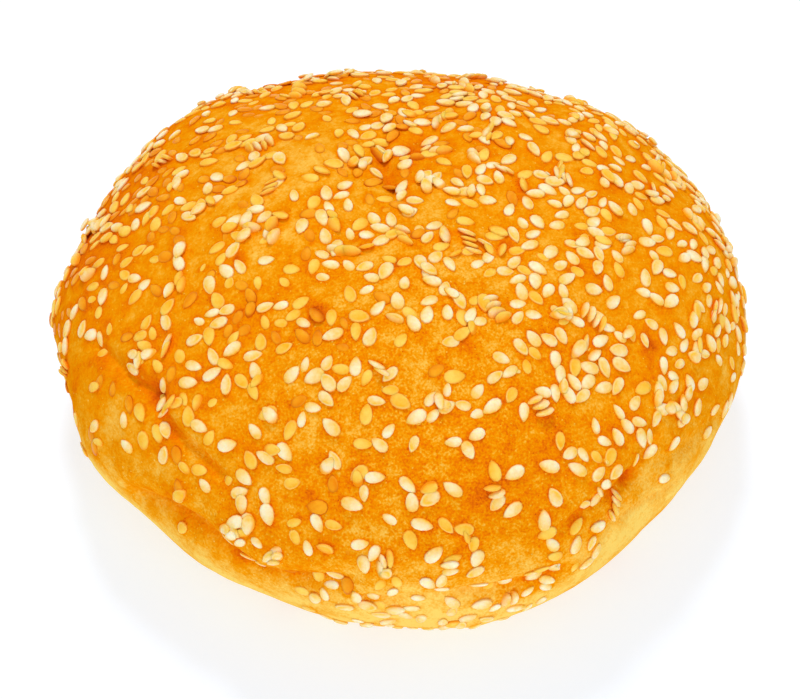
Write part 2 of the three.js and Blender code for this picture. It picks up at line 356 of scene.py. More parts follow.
    def outline_radius(self, bearing: float) -> float:
        """Gives the distance of the outline from the axis.

        Args:
            bearing: Angle in radians from +X towards +Y.

        Returns:
            The radius in millimetres.
        """
        share = 1.0
        for wave in self.outline_waves:
            share += wave.share * math.cos(wave.per_turn * (bearing - math.radians(wave.crest)))
        return self.mean_radius * share

    def section(self, rise: float) -> tuple[float, float]:
        """Gives the roll's section.

        Args:
            rise: -1 at the foot, 0 at the waist and 1 at the middle of the crown.

        Returns:
            The share of the outline's radius, and the height in millimetres.
        """
        angle = abs(rise) * math.pi / 2
        if rise < 0:
            share = self.foot_share + (1 - self.foot_share) * math.cos(angle)
            return share, self.waist_height * (1 - math.sin(angle))
        crown_height = self.height - self.waist_height
        share = max(math.cos(angle), 0.0) ** self.roundness
        return share, self.waist_height + crown_height * math.sin(angle) ** self.roundness

    def on_side(self, bearing: float, rise: float) -> Vector:
        """Finds a place on the plain roll.

        Args:
            bearing: Angle in degrees from +X towards +Y.
            rise: The place's rise along the section.

        Returns:
            The place in millimetres.
        """
        turn = math.radians(bearing)
        share, height = self.section(rise)
        radius = share * self.outline_radius(turn)
        return Vector((radius * math.cos(turn), radius * math.sin(turn), height))

    def on_crown(self, x: float, y: float) -> Vector:
        """Finds a place on the plain crown.

        Args:
            x: Distance to the right of the axis.
            y: Distance behind the axis.

        Returns:
            The place in millimetres.
        """
        turn = math.atan2(y, x)
        share = math.hypot(x, y) / self.outline_radius(turn)
        angle = math.acos(share ** (1 / self.roundness))
        return self.on_side(math.degrees(turn), angle / (math.pi / 2))

    def outward(self, bearing: float, rise: float) -> Vector:
        """Gives the way straight out of the plain roll.

        Args:
            bearing: Angle in radians from +X towards +Y.
            rise: The place's rise along the section.

        Returns:
            A vector of length 1.
        """
        step = 0.001
        low_share, low_height = self.section(max(rise - step, -1.0))
        high_share, high_height = self.section(min(rise + step, 1.0))
        inward = (low_share - high_share) * self.outline_radius(bearing)
        climb = high_height - low_height
        return Vector((climb * math.cos(bearing), climb * math.sin(bearing), inward)).normalized()

    def reshape(self, point: Vector, normal: Vector) -> tuple[Vector, float]:
        """Moves a place on the plain roll to where the uneven, creased crust is.

        Args:
            point: The place on the plain roll.
            normal: The way out of the roll there.

        Returns:
            The place on the crust, and the painted shade from its creases, from 0 to 1: darker deep in a
            crease, and in the band under a line with a shade.
        """
        uphill = (UP - normal * normal.z).normalized()
        outward = 0.0
        downhill = 0.0
        crease_shade = 0.0
        for index, wave in enumerate(self.dough_waves):
            turn = math.radians(wave.bearing)
            way = point.x * math.cos(turn) + point.y * math.sin(turn) + self.wave_lean * point.z
            outward += wave.height * math.sin(2 * math.pi * way / wave.length + index)
        for swelling in self.swellings:
            if (point - swelling.place).length < self.swelling_reach * swelling.radius:
                outward += swelling.at(point)
        for crease in self.creases:
            found = crease.nearest(point)
            if found is None:
                continue
            nearest, distance, strength = found
            strength *= 1.0 + self.unevenness * noise.noise(nearest / self.uneven_size)
            above = (point - nearest).dot(uphill)
            half_width = crease.width / 2
            half_reach = crease.reach / 2
            in_line = bell(distance, crease.width)
            on_lip = smoothstep(above, 0, half_reach)
            outward -= strength * crease.depth * in_line
            outward += strength * crease.lip * bell(distance, crease.reach) * on_lip
            over_line = smoothstep(above, -half_width, half_width)
            downhill += strength * crease.hang * bell(distance, half_reach) * over_line
            # Painted shade: the crust is coloured darker deep in a crease, and in a band under a line with
            # a shade.
            crease_shade = max(crease_shade, strength * min(crease.depth / self.full_shade_depth, 1.0) * in_line)
            if above < 0:
                under = 1.0 - smoothstep(distance, self.shade_from, self.shade_to)
                crease_shade = max(crease_shade, strength * crease.shade * under)
        settled = smoothstep(point.z, 0.0, self.settled_height)
        return point + settled * (outward * normal - downhill * uphill), crease_shade

    def foot_middle(self) -> Vector:
        """Gives the middle of the box round the flat underside, seen from above."""
        return box_middle([self.on_side(degree, -1.0) for degree in range(360)])


@dataclass
class Crust:
    """The crust: one closed mesh that stands for the whole roll.

    Sizes and heights are in millimetres. Baking goes from 0 for pale to 1 for deep brown, and in the two
    pits it also carries painted shade. Each mottle is how much it strays over blotches of its size.
    """

    roll: Roll
    shift: Vector
    cuts: int = 127
    waist_angle: float = 118.0
    foot_angle: float = 150.0
    soft_size: float = 7.0
    soft_height: float = 0.16
    wrinkle_size: float = 9.0
    wrinkle_height: float = 0.05
    side_bake: float = 0.24
    crown_bake: float = 0.25
    bake_band: Range = (-0.35, 0.2)
    slow_size: float = 16.0
    slow_mottle: float = 0.05
    low_size: float = 6.5
    low_mottle: float = 0.25
    low_band: Range = (-0.05, 0.12)
    foot_size: float = 14.0
    foot_mottle: float = 0.12
    foot_bake: float = 0.62
    palest: float = 0.03
    rough_middle: Range = (275.0, 0.47)
    rough_width: float = 36.0
    seed_reach: float = 2.6
    # The glaze width sets both where the glaze lifts the crust and where it is painted darker with contact
    # shade.
    glaze_and_shade_width: float = 0.36
    glaze_rise: float = 0.12
    pool_width: float = 1.2
    bake_and_shade_spots: list[Spot] = field(init=False)
    surface: BVHTree = field(init=False)

    def __post_init__(self) -> None:
        """Places the paler and deeper parts of the crust."""
        crown = self.roll.on_crown
        # Each spot's bearing and rise, then its radius and how much more it is baked than the rest;
        # the small spots at 218 and 311.5 degrees, in the two pits, are partly painted shade.
        self.bake_and_shade_spots = self.roll.side_spots(
            (307, -0.04, 6.0, -0.22), (312, -0.16, 5.0, -0.1), (320, -0.12, 5.0, -0.1),
            (329, -0.08, 7.0, -0.14), (338, -0.05, 8.0, -0.08), (168, 0.3, 12.0, 0.14),
            (218, 0.35, 2.0, 0.6), (311.5, 0.19, 1.5, 0.45), (296, -0.2, 6.0, 0.06),
            (238, -0.25, 11.0, -0.2), (284, -0.25, 7.0, -0.14), (212, -0.4, 14.0, -0.12),
            (345, 0.3, 24.0, -0.02), (90, 0.55, 22.0, 0.05), (280, -0.35, 13.0, -0.3),
            (284, 0.35, 9.0, 0.18), (298, 0.41, 8.0, 0.08), (268, -0.06, 7.0, -0.16),
            (206, -0.12, 10.0, -0.14), (186, 0.72, 9.0, -0.1), (245, 0.51, 8.0, -0.08),
            (317, 0.1, 9.0, -0.2), (318, 0.4, 14.0, 0.06), (200, 0.25, 14.0, 0.05),
            (214, 0.26, 6.5, -0.15), (232, 0.25, 6.0, -0.12), (176, 0.2, 14.0, 0.18),
            (236, 0.3, 12.0, 0.04), (136, 0.54, 16.0, -0.08), (300, -0.1, 9.0, -0.14),
            (125, 0.45, 9.0, 0.16), (75, 0.45, 10.0, 0.14), (150, 0.35, 12.0, 0.1),
            (258, -0.08, 10.0, -0.15), (275, -0.12, 9.0, -0.06), (331, 0.42, 1.5, 0.4),
        )
        self.bake_and_shade_spots += [
            Spot(crown(0, 8), 26.0, -0.03),
            Spot(crown(-16, 8.5), 8.0, -0.14),
            Spot(crown(8, -18), 15.0, -0.1),
        ]
        toasted = ((16.1, -9.1), (26.7, -12.4), (-12.2, -21.6), (-24.3, -11.1), (-0.9, -14.3), (9, -27))
        self.bake_and_shade_spots += [Spot(crown(x, y), 1.4, 0.4) for x, y in toasted]

    def place_of(self, direction: Vector) -> tuple[Vector, float, float]:
        """Finds the place on the plain roll for a direction from the middle of a ball of dough.

        Args:
            direction: A vector of length 1.

        Returns:
            The place in millimetres, its bearing in radians and its rise, below -1 on the underside.
        """
        polar = math.degrees(math.acos(min(max(direction.z, -1.0), 1.0)))
        bearing = math.atan2(direction.y, direction.x)
        if polar > self.foot_angle:
            share = (180.0 - polar) / (180.0 - self.foot_angle)
            place = self.roll.on_side(math.degrees(bearing), -1.0)
            return Vector((place.x * share, place.y * share, 0.0)), bearing, -2.0 + share
        if polar < self.waist_angle:
            rise = 1.0 - polar / self.waist_angle
        else:
            rise = -(polar - self.waist_angle) / (self.foot_angle - self.waist_angle)
        return self.roll.on_side(math.degrees(bearing), rise), bearing, rise

    def grain(self, point: Vector) -> float:
        """Gives the fine relief of the crust, in millimetres.

        Args:
            point: A place on the crust.

        Returns:
            How far the crust stands out there.
        """
        soft = noise.fractal(point / self.soft_size, 1.0, 2.0, 3)
        wrinkled = noise.ridged_multi_fractal(point / self.wrinkle_size, 1.0, 2.0, 3, 1.0, 2.0)
        return self.soft_height * soft + self.wrinkle_height * (wrinkled - 1.0)

    def bake_at(self, point: Vector, rise: float) -> float:
        """Gives how deeply the crust is baked at a place, with painted shade in the two pits.

        Args:
            point: The place on the plain roll.
            rise: Its rise along the section.

        Returns:
            0 for pale, about 0.5 for golden and 1 for deep brown.
        """
        if rise < -1.0:
            return self.foot_bake + self.foot_mottle * noise.noise(point / self.foot_size)
        low = 1.0 - smoothstep(rise, *self.low_band)
        bake_and_shade = self.side_bake + self.crown_bake * smoothstep(rise, *self.bake_band)
        bake_and_shade += self.slow_mottle * noise.noise(point / self.slow_size)
        bake_and_shade += self.low_mottle * low * noise.noise(point / self.low_size + LOW_MOTTLE_OFFSET)
        for spot in self.bake_and_shade_spots:
            bake_and_shade += spot.at(point)
        return max(bake_and_shade, self.palest)

    def build(self) -> bpy.types.Object:
        """Makes the crust's mesh.

        Returns:
            The crust as an object, in metres in the model's frame.
        """
        ball = bmesh.new()
        bmesh.ops.create_cube(ball, size=2.0)
        bmesh.ops.subdivide_edges(ball, edges=ball.edges[:], cuts=self.cuts, use_grid_fill=True)
        # The crease layer carries painted shade in the creases; the baking layer also carries painted
        # shade in the two pits.
        crease_shade_layer = ball.verts.layers.float.new("crease")
        bake_and_shade_layer = ball.verts.layers.float.new("bake_and_shade")
        rough_layer = ball.verts.layers.float.new("rough")
        roughest = self.roll.on_side(*self.rough_middle)
        for vert in ball.verts:
            even = Vector([math.tan(component * math.pi / 4) for component in vert.co])
            place, bearing, rise = self.place_of(even.normalized())
            normal = self.roll.outward(bearing, rise) if rise >= -1.0 else -UP
            moved, crease_shade = self.roll.reshape(place, normal)
            settled = smoothstep(place.z, 0.0, self.roll.settled_height)
            vert.co = moved + normal * settled * self.grain(place)
            vert[crease_shade_layer] = crease_shade
            vert[bake_and_shade_layer] = self.bake_at(place, rise)
            vert[rough_layer] = bell((place - roughest).length, self.rough_width)
        bmesh.ops.recalc_face_normals(ball, faces=ball.faces[:])
        self.surface = BVHTree.FromBMesh(ball)
        self.to_frame(ball)
        return link_shape(ball, "crust")

    def meet_seeds(self, crust: bpy.types.Object, seeds: Sequence[Seed]) -> None:
        """Marks the crust close to the seeds, where glaze gathers and painted contact shade darkens it,
        and lets it rise to meet them.

        Args:
            crust: The crust, which is changed.
            seeds: The seeds that lie on it.
        """
        tree = sorted_places([seed.matrix.translation for seed in seeds])
        contact = []
        among = []
        normals = [normal.vector.copy() for normal in crust.data.vertex_normals]
        for vertex, normal in zip(crust.data.vertices, normals):
            place = vertex.co / MM - self.shift
            gap = self.seed_reach
            for _, index, _ in tree.find_range(place, self.seed_reach):
                gap = min(gap, seeds[index].laid.gap_to(place))
            # Painted shade next to the seeds, together with the glaze that gathers there.
            contact.append(bell(gap, self.glaze_and_shade_width))
            among.append(bell(gap, self.pool_width))
            vertex.co += normal * (self.glaze_rise * MM * bell(gap, 2 * self.glaze_and_shade_width))
        for name, values in (("contact", contact), ("among", among)):
            layer = crust.data.attributes.new(name, "FLOAT", "POINT")
            layer.data.foreach_set("value", values)

    def to_frame(self, shape: bmesh.types.BMesh) -> None:
        """Puts a shape made in millimetres into the model's frame, in metres."""
        bmesh.ops.translate(shape, verts=shape.verts[:], vec=self.shift)
        bmesh.ops.scale(shape, verts=shape.verts[:], vec=(MM, MM, MM))

class SeedKind(Enum):
    """The three looks that a sesame seed has on the crust."""

    PALE = "pale"
    GOLDEN = "golden"
    GLAZED = "glazed"


@dataclass
class Seed:
    """One seed: where it lies, which way is up for it, its size, turn and tilt, and its look.

    Roll over turns it on its edge, sunk is how deep it sits in the crust, and stout is its width beside
    others. It gets its matrix and its laid form when it is settled.
    """

    place: Vector
    normal: Vector
    size: float
    turn: float
    tilt: float = 0.0
    kind: SeedKind = SeedKind.PALE
    roll_over: float = 0.0
    sunk: float = 0.4
    stout: float = 1.0
    tone: float = 0.5
    held: bool = False
    leaning: bool = False
    piled: bool = False
    matrix: Matrix = field(default_factory=Matrix)
    laid: LaidSeed | None = None


@dataclass(frozen=True)
class LaidSeed:
    """The room that a laid seed takes.

    Base is the middle of its underside, and along, across and up are its ways. Doming is how far its top
    falls off to the edge, and slack how far over or under it the crust may be and still touch it.
    """

    base: Vector
    along: Vector
    across: Vector
    up: Vector
    half_length: float
    half_width: float
    height: float
    doming: float = 0.95
    slack: float = 0.5

    def top_at(self, spot: Vector, up: Vector) -> float | None:
        """Finds how high its top is over a spot.

        Args:
            spot: The spot.
            up: The way up there.

        Returns:
            The height in millimetres, or None where the seed doesn't reach.
        """
        way = spot - self.base
        along = way.dot(self.along) / self.half_length
        across = way.dot(self.across) / self.half_width
        reach = along**2 + across**2
        if reach >= 1.0:
            return None
        return (self.base - spot).dot(up) + self.height * math.sqrt(1.0 - reach * self.doming)

    def gap_to(self, spot: Vector) -> float:
        """Finds how far a spot on the crust is outside the seed's outline.

        Args:
            spot: The spot.

        Returns:
            The gap in millimetres, 0 under the seed.
        """
        way = spot - self.base
        along = way.dot(self.along)
        across = way.dot(self.across)
        reach = math.hypot(along / self.half_length, across / self.half_width)
        if reach <= 1.0:
            return 0.0
        aside = math.hypot(along, across) * (1.0 - 1.0 / reach)
        return math.hypot(aside, max(abs(way.dot(self.up)) - self.slack, 0.0))


@dataclass(frozen=True)
class Pile:
    """A few seeds that fell together."""

    place: Vector
    count: int
    spread: float


@dataclass(frozen=True)
class LookRule:
    """Which look a seed gets: the draws below which it does, and how deep such a seed may be sunk."""

    kind: SeedKind
    below: float
    sunk: Range


@dataclass
class EvenRandom:
    """Repeatable random numbers between 0 and 1, the same in any language."""

    state: int
    factor: int = 1664525
    addend: int = 1013904223
    period: int = 2**32

    def __call__(self) -> float:
        """Gives the next number."""
        self.state = (self.state * self.factor + self.addend) % self.period
        return self.state / self.period


@dataclass
class SeedScatter:
    """Where the seeds lie, how they are turned and how they rest on the crust and on each other.

    Lengths are in millimetres, angles in degrees, and sizes are shares of the usual seed's size.
    """

    roll: Roll
    surface: BVHTree
    dice: random.Random
    sites: int = 2150
    start: int = 5
    stray: float = 2.2
    least_size: float = 0.82
    most_size: float = 1.12
    most_tilt: float = 5.0
    length: float = 3.12
    width: float = 1.84
    thickness: float = 0.74
    ends_at: float = -0.16
    full_at: float = 0.1
    lowest: float = -0.5
    highest: float = 0.999
    slices: int = 200
    held_gap: float = 8.3
    room: float = 2.4
    loose_share: float = 0.1
    pushes: int = 8
    push_share: float = 0.45
    least_gap: float = 0.01
    leaning_share: float = 0.045
    lean_angles: Range = (45.0, 70.0)
    lean_falls: Range = (0.0, 15.0)
    row_lengths: tuple[int, ...] = (2, 3, 3, 4)
    row_step: float = 1.12
    row_stray: float = 0.5
    row_turn: float = 0.12
    row_sizes: Range = (0.85, 1.0)
    added_share: float = 0.12
    added_gaps: Range = (1.3, 2.0)
    added_sizes: Range = (0.82, 1.05)
    bits: int = 45
    bit_stray: float = 2.0
    bit_sizes: Range = (0.25, 0.4)
    pile_sizes: Range = (0.85, 1.05)
    pile_crowding: float = 1.6
    pile_root: float = 8.0
    paler_right: float = 0.0065
    paler_front: float = 0.5
    side_draw: float = 0.3
    side_paling: float = 0.1
    pile_paling: float = 0.15
    added_draw: float = 0.2
    stoutness: Range = (0.86, 1.12)
    edge_share: float = 0.03
    edge_angles: Range = (20.0, 55.0)
    edge_sunk: float = 0.5
    look_rules: tuple[LookRule, ...] = (
        LookRule(SeedKind.GLAZED, 0.17, (0.34, 0.54)),
        LookRule(SeedKind.GOLDEN, 0.5, (0.22, 0.46)),
        LookRule(SeedKind.PALE, math.inf, (0.12, 0.36)),
    )
    feel_crust: float = 0.36
    feel_seeds: float = 0.75
    tries: int = 6
    nudge: float = 1.3
    most_lift: float = 0.7
    most_nod: float = 0.5
    most_bank: float = 0.6
    back_rise: float = 0.1
    thin_patches: list[Spot] = field(init=False)
    low_seeds: Spot = field(init=False)
    piles: list[Pile] = field(init=False)
    seeds: list[Seed] = field(init=False)

    def __post_init__(self) -> None:
        """Places the thin patches and the piles."""
        side, crown = self.roll.on_side, self.roll.on_crown
        # Each patch's bearing and rise, then its radius and the share of its seeds that is missing.
        self.thin_patches = self.roll.side_spots(
            (216, -0.05, 13.0, 0.95), (236, -0.06, 9.0, 1.0), (222, 0.03, 4.0, 1.0),
            (248, -0.12, 9.0, 0.95), (198, 0.12, 8.0, 0.5), (316, -0.02, 12.0, 1.0),
            (312, 0.17, 4.5, 0.9), (287, 0.38, 19.0, 0.5), (252, 0.38, 16.0, 0.35),
            (215, 0.2, 15.0, 0.45), (332, -0.05, 12.0, 0.95),
        )
        self.thin_patches.append(Spot(crown(-14, 9.5), 4.5, 0.8))
        self.low_seeds = Spot(side(276, -0.16), 16.0, 0.8)
        self.piles = [
            Pile(side(242, 0.115), 7, 3.2),
            Pile(side(248, 0.1), 6, 2.4),
            Pile(side(325, 0.29), 9, 3.0),
            Pile(side(209, 0.37), 4, 1.8),
            Pile(crown(4, 3), 5, 2.0),
            Pile(crown(5, -18), 4, 1.8),
            Pile(crown(23, -20), 4, 1.8),
            Pile(side(172, 0.28), 7, 5.0),
            Pile(side(154, 0.3), 8, 6.0),
            Pile(side(132, 0.36), 8, 6.0),
            Pile(side(104, 0.42), 7, 6.0),
            Pile(side(62, 0.38), 7, 6.0),
            Pile(side(36, 0.3), 7, 6.0),
        ]

    def cover(self, place: Vector, rise: float) -> float:
        """Gives how thickly the seeds lie.

        Args:
            place: A place on the plain roll.
            rise: Its rise along the section.

        Returns:
            0 for no seeds to 1 for the most.
        """
        amount = max(smoothstep(rise, self.ends_at, self.full_at), self.low_seeds.at(place))
        for patch in self.thin_patches:
            amount *= 1.0 - patch.at(place)
        return amount

    def area_to_rise(self) -> Callable[[float], float]:
        """Adds up the crust's area in thin slices from the crown down.

        Returns:
            A function that turns a share of the area into the rise above which it lies.
        """
        slices = self.slices
        rises = [1.0]
        areas = [0.0]
        for index in range(1, slices + 1):
            rise = 1.0 - (1.0 - self.lowest) * index / slices
            share_a, height_a = self.roll.section(rises[-1])
            share_b, height_b = self.roll.section(rise)
            slant = math.hypot((share_b - share_a) * self.roll.mean_radius, height_b - height_a)
            areas.append(areas[-1] + slant * (share_a + share_b) / 2)
            rises.append(rise)

        def rise_at(share: float) -> float:
            """Finds the rise for a share of the area."""
            wanted = min(max(share, 0.0), 1.0) * areas[-1]
            index = next(i for i in range(1, slices + 1) if areas[i] >= wanted)
            part = (wanted - areas[index - 1]) / (areas[index] - areas[index - 1])
            return rises[index - 1] + part * (rises[index] - rises[index - 1])

        return rise_at

    def strew(self) -> list[Seed]:
        """Strews the seeds on a golden-angle lattice that each one strays from.

        Returns:
            The seeds on the plain roll's creased form.
        """
        chance = EvenRandom(self.start)
        rise_at = self.area_to_rise()
        golden_turn = math.pi * (3.0 - math.sqrt(5.0))
        seeds = []
        for index in range(self.sites):
            even_rise = rise_at((index + 0.5) / self.sites)
            away = max(self.roll.section(even_rise)[0] * self.roll.mean_radius, self.stray)
            bearing = index * golden_turn + (chance() - 0.5) * 2 * self.stray / away
            rise = even_rise + (chance() - 0.5) * 2 * self.stray / self.roll.height
            rise = min(max(rise, self.lowest), self.highest)
            kept = chance()
            size = self.least_size + (self.most_size - self.least_size) * chance()
            turn = chance() * 2 * math.pi
            tilt = math.radians(self.most_tilt) * (2 * chance() - 1)
            plain = self.roll.on_side(math.degrees(bearing), rise)
            if kept < self.cover(plain, rise):
                normal = self.roll.outward(bearing, rise)
                seeds.append(Seed(self.roll.reshape(plain, normal)[0], normal, size, turn, tilt))
        return seeds

    def hold_largest(self) -> None:
        """Holds the largest seeds, at least a gap apart, where they fell."""
        held: list[Seed] = []
        for seed in sorted(self.seeds, key=lambda one: -one.size):
            if all((seed.place - other.place).length >= self.held_gap for other in held):
                seed.held = True
                held.append(seed)

    def make_room(self) -> None:
        """Pushes seeds that fell too close together apart, except a few."""
        loose = [self.dice.random() < self.loose_share for _ in self.seeds]
        for _ in range(self.pushes):
            tree = sorted_places([seed.place for seed in self.seeds])
            pushes = [Vector() for _ in self.seeds]
            for index, seed in enumerate(self.seeds):
                for place, other, distance in tree.find_range(seed.place, self.room):
                    if other != index and not loose[index] and distance > self.least_gap:
                        away = (seed.place - place) / distance
                        away -= seed.normal * away.dot(seed.normal)
                        pushes[index] += away * (self.room - distance) * self.push_share
            for seed, push in zip(self.seeds, pushes):
                if not seed.held:
                    seed.place = seed.place + push

    def lean_row(self, seed: Seed, along: Vector) -> list[Seed]:
        """Turns a seed on its edge and leans a few more against it.

        Args:
            seed: The seed, which is changed.
            along: The way along it.

        Returns:
            The added seeds.
        """
        seed.leaning = True
        seed.roll_over = math.radians(self.dice.uniform(*self.lean_angles))
        row = []
        for step in range(1, self.dice.choice(self.row_lengths)):
            across = seed.normal.cross(along) * (self.row_step * step)
            place = seed.place + across + along * self.dice.uniform(-self.row_stray, self.row_stray)
            size = self.dice.uniform(*self.row_sizes)
            turn = seed.turn + self.dice.gauss(0.0, self.row_turn)
            leaning = Seed(place, seed.normal, size, turn, leaning=True)
            leaning.roll_over = seed.roll_over - math.radians(self.dice.uniform(*self.lean_falls))
            row.append(leaning)
        return row

    def one_more(self, place: Vector, normal: Vector, sizes: Range, **marks: object) -> Seed:
        """Makes one more seed, with its size and turn drawn."""
        return Seed(place, normal, self.dice.uniform(*sizes), self.dice.uniform(*ANY_TURN), **marks)

    def companions(self) -> list[Seed]:
        """Makes more seeds: some beside or against the strewn ones, small bits, and the piles.

        Returns:
            The added seeds.
        """
        added = []
        for seed in self.seeds:
            draw = self.dice.random()
            along = seed.normal.orthogonal().normalized()
            along.rotate(Matrix.Rotation(seed.turn, 3, seed.normal))
            if draw < self.leaning_share and not seed.held:
                added += self.lean_row(seed, along)
            elif draw < self.added_share:
                along.rotate(Matrix.Rotation(self.dice.uniform(0, 2 * math.pi), 3, seed.normal))
                place = seed.place + along * self.dice.uniform(*self.added_gaps)
                added.append(self.one_more(place, seed.normal, self.added_sizes, kind=SeedKind.GOLDEN))
        for seed in self.dice.sample(self.seeds, self.bits):
            place = seed.place + any_way(self.dice, self.bit_stray)
            added.append(self.one_more(place, seed.normal, self.bit_sizes))
        for pile in self.piles:
            normal = (pile.place - UP * self.pile_root).normalized()
            spread = pile.spread / self.pile_crowding
            for _ in range(pile.count):
                place = pile.place + Vector([self.dice.gauss(0.0, spread) for _ in range(3)])
                added.append(self.one_more(place, normal, self.pile_sizes, piled=True))
        return added

    def look_draw(self, seed: Seed) -> float:
        """Draws for a seed's look: the further right and forward it lies, the paler it is.

        Args:
            seed: The seed.

        Returns:
            A number that is low for a glazed seed and high for a pale one.
        """
        ahead = seed.place.x - self.paler_front * seed.place.y
        draw = self.dice.random() + self.paler_right * ahead
        if seed.leaning or seed.piled or seed.place.z < self.roll.waist_height:
            paling = self.side_paling + (self.pile_paling if seed.piled else 0.0)
            return max(draw, self.side_draw) + paling
        return max(draw, self.added_draw) if seed.kind is SeedKind.GOLDEN else draw

    def dress(self) -> None:
        """Gives each seed its look and the way that it lies."""
        for seed in self.seeds:
            draw = self.look_draw(seed)
            seed.tone = self.dice.random()
            seed.stout = self.dice.uniform(*self.stoutness)
            rule = next(rule for rule in self.look_rules if draw < rule.below)
            seed.kind = rule.kind
            seed.sunk = self.dice.uniform(*rule.sunk)
            if not seed.leaning and not seed.held and self.dice.random() < self.edge_share:
                seed.leaning = True
                side = self.dice.choice((-1, 1))
                seed.roll_over = math.radians(side * self.dice.uniform(*self.edge_angles))
            if seed.leaning:
                seed.sunk = max(seed.sunk, self.edge_sunk)
            elif seed.place.y > 0.0:
                seed.sunk -= self.back_rise

    def half_sizes(self, seed: Seed) -> tuple[float, float, float]:
        """Gives half a seed's length, width and thickness."""
        width = self.width * seed.size * seed.stout / 2
        return self.length * seed.size / 2, width, self.thickness * seed.size / 2

    def frame_on(self, seed: Seed) -> tuple[Vector, Vector, Vector, Vector]:
        """Finds how a seed lies on the crust from the crust under its ends and sides.

        Args:
            seed: The seed.

        Returns:
            The middle of the crust under the seed, and the seed's ways along, across and up.
        """
        middle = self.surface.find_nearest(seed.place)[0]
        guess = Vector((1.0, 0.0, 0.0))
        if abs(seed.normal.z) <= NEARLY_UP:
            guess = UP.cross(seed.normal).normalized()
        guess.rotate(Matrix.Rotation(seed.turn, 3, seed.normal))
        aside = seed.normal.cross(guess).normalized()
        reach_along = guess * self.length * seed.size * self.feel_crust
        reach_across = aside * self.width * seed.size * self.feel_crust
        reaches = (reach_along, -reach_along, reach_across, -reach_across)
        tip, tail, left, right = [self.surface.find_nearest(middle + reach)[0] for reach in reaches]
        up = (tip - tail).cross(left - right).normalized()
        along = (tip - tail).normalized()
        across = up.cross(along).normalized()
        base = (middle + (tip + tail + left + right) / 4) / 2
        return base, along, across, up

    def settle(self) -> None:
        """Lays the seeds down one after the other, on the crust or on those that lie there already."""
        cell = self.length * self.most_size
        grid: dict[tuple[int, ...], list[LaidSeed]] = {}
        for seed in self.seeds:
            for _ in range(self.tries):
                key = tuple(math.floor(part / cell) for part in seed.place)
                near = []
                for steps in product((-1, 0, 1), repeat=3):
                    near += grid.get(tuple(part + step for part, step in zip(key, steps)), [])
                if self.lay(seed, near) < self.most_lift:
                    break
                seed.place = seed.place + any_way(self.dice, self.nudge)
            grid.setdefault(key, []).append(seed.laid)

    def scatter(self) -> list[Seed]:
        """Scatters all the seeds, from the first throw to how each one lies.

        Returns:
            The seeds, the strewn ones first.
        """
        self.seeds = self.strew()
        self.hold_largest()
        self.make_room()
        self.seeds += self.companions()
        self.dress()
        self.settle()
        return self.seeds

    def lay(self, seed: Seed, near: Sequence[LaidSeed]) -> float:
        """Lays one seed on the crust, or on its neighbours where it overlaps them.

        Args:
            seed: The seed, which gets its matrix.
            near: The seeds that lie near it.

        Returns:
            How far its neighbours lift it, in millimetres.
        """
        base, along, across, up = self.frame_on(seed)
        half_length, half_width, half_thick = self.half_sizes(seed)
        turned = abs(math.sin(seed.roll_over))
        flat = abs(math.cos(seed.roll_over))
        spread = half_width * flat + half_thick * turned
        half_height = half_thick * flat + half_width * turned
        feel = (-self.feel_seeds, self.feel_seeds)
        spots = [base]
        spots += [base + along * half_length * share for share in feel]
        spots += [base + across * spread * share for share in feel]
        heights = []
        for spot in spots:
            tops = [] if seed.leaning else [laid.top_at(spot, up) for laid in near]
            heights.append(max([top for top in tops if top is not None] + [0.0]))
        lift = max(heights[0], (heights[1] + heights[2]) / 2, (heights[3] + heights[4]) / 2)
        nod = math.atan2(heights[2] - heights[1], 2 * self.feel_seeds * half_length)
        bank = math.atan2(heights[4] - heights[3], 2 * self.feel_seeds * spread)
        nod = min(max(nod, -self.most_nod), self.most_nod)
        bank = min(max(bank, -self.most_bank), self.most_bank)
        turn = Matrix((along, across, up)).transposed() @ Matrix.Rotation(seed.tilt - nod, 3, "Y")
        turn = turn @ Matrix.Rotation(seed.roll_over + bank, 3, "X")
        middle = base + up * (lift + half_height - seed.sunk)
        seed.matrix = Matrix.Translation(middle) @ turn.to_4x4()
        height = 2 * half_height - seed.sunk
        seed.laid = LaidSeed(base + up * lift, along, across, up, half_length, spread, height)
        return lift


